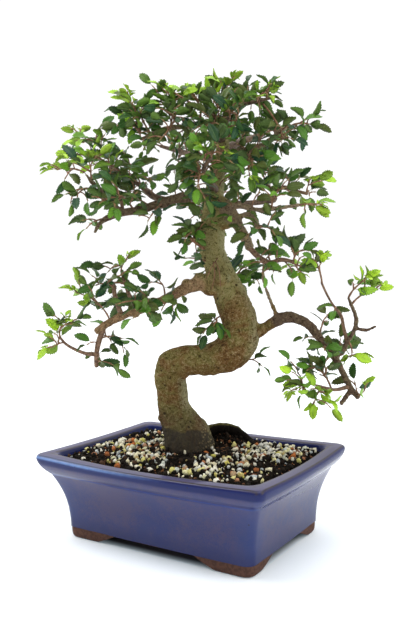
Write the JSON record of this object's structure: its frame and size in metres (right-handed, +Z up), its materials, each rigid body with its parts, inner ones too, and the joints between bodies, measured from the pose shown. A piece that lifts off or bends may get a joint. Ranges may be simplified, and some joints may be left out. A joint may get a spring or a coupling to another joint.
{
  "type": "potted bonsai tree",
  "caption": "Chinese elm bonsai with an S-shaped trunk and leafy sprays of small serrate leaves, planted in a rectangular blue glazed ceramic pot of gritty soil.",
  "frame": {"origin": "middle of the underside of the whole part's bounding box, at the level the feet stand on", "axes": "+Z up, +X along the pot's length, -Y towards the long side of the pot that faces front"},
  "size_m": [0.286, 0.2314, 0.4115],
  "materials": {
    "glaze": "glossy cobalt blue glaze over stoneware, with unglazed brown feet",
    "drain_mesh": "matt dark plastic mesh",
    "soil": "dark potting mix with pale pumice and clay grains",
    "bark": "olive brown bark, finely flaked",
    "leaf": "satin green leaves, lime at the new tips"
  },
  "bodies": {
    "root": {"pot": "glaze", "drain_mesh_left": "drain_mesh", "drain_mesh_right": "drain_mesh", "soil": "soil", "trunk": "bark", "spray_low_left_tip": "leaf", "spray_low_left_lime": "leaf", "spray_low_left_upper": "leaf", "spray_low_left_inner": "leaf", "spray_low_left_slip": "leaf", "spray_low_left_drop": "leaf", "spray_low_left_back": "leaf", "spray_low_left_front": "leaf", "spray_low_left_near": "leaf", "spray_low_right_lime": "leaf", "spray_low_right_far": "leaf", "spray_low_right_upper": "leaf", "spray_low_right_end": "leaf", "spray_low_right_cluster": "leaf", "spray_low_right_mid": "leaf", "spray_low_right_curl": "leaf", "spray_low_right_back": "leaf", "spray_low_right_front": "leaf", "spray_trunk_side": "leaf", "spray_left_lime": "leaf", "spray_left_low_leafy": "leaf", "spray_left_top": "leaf", "spray_left_hanging": "leaf", "spray_left_under": "leaf", "spray_left_knee": "leaf", "spray_left_back": "leaf", "spray_left_front": "leaf", "spray_left_inner": "leaf", "spray_crown_left_lime": "leaf", "spray_crown_left_back": "leaf", "spray_crown_left_top": "leaf", "spray_crown_left_front": "leaf", "spray_crown_middle": "leaf", "spray_crown_apex": "leaf", "spray_crown_right": "leaf", "spray_crown_right_far": "leaf", "spray_crown_right_low": "leaf", "spray_crown_right_front": "leaf", "spray_right_out": "leaf", "spray_right_end": "leaf", "spray_right_front": "leaf", "spray_mid_right": "leaf", "spray_stub": "leaf", "spray_trunk_left_upper": "leaf", "spray_trunk_left_lower": "leaf", "spray_trunk_hanging": "leaf", "spray_back_low": "leaf", "spray_back_mid": "leaf", "spray_back_high": "leaf", "spray_back_left": "leaf", "spray_back_right": "leaf", "spray_front_high": "leaf", "spray_front_crown": "leaf"}
  },
  "joints": []
}
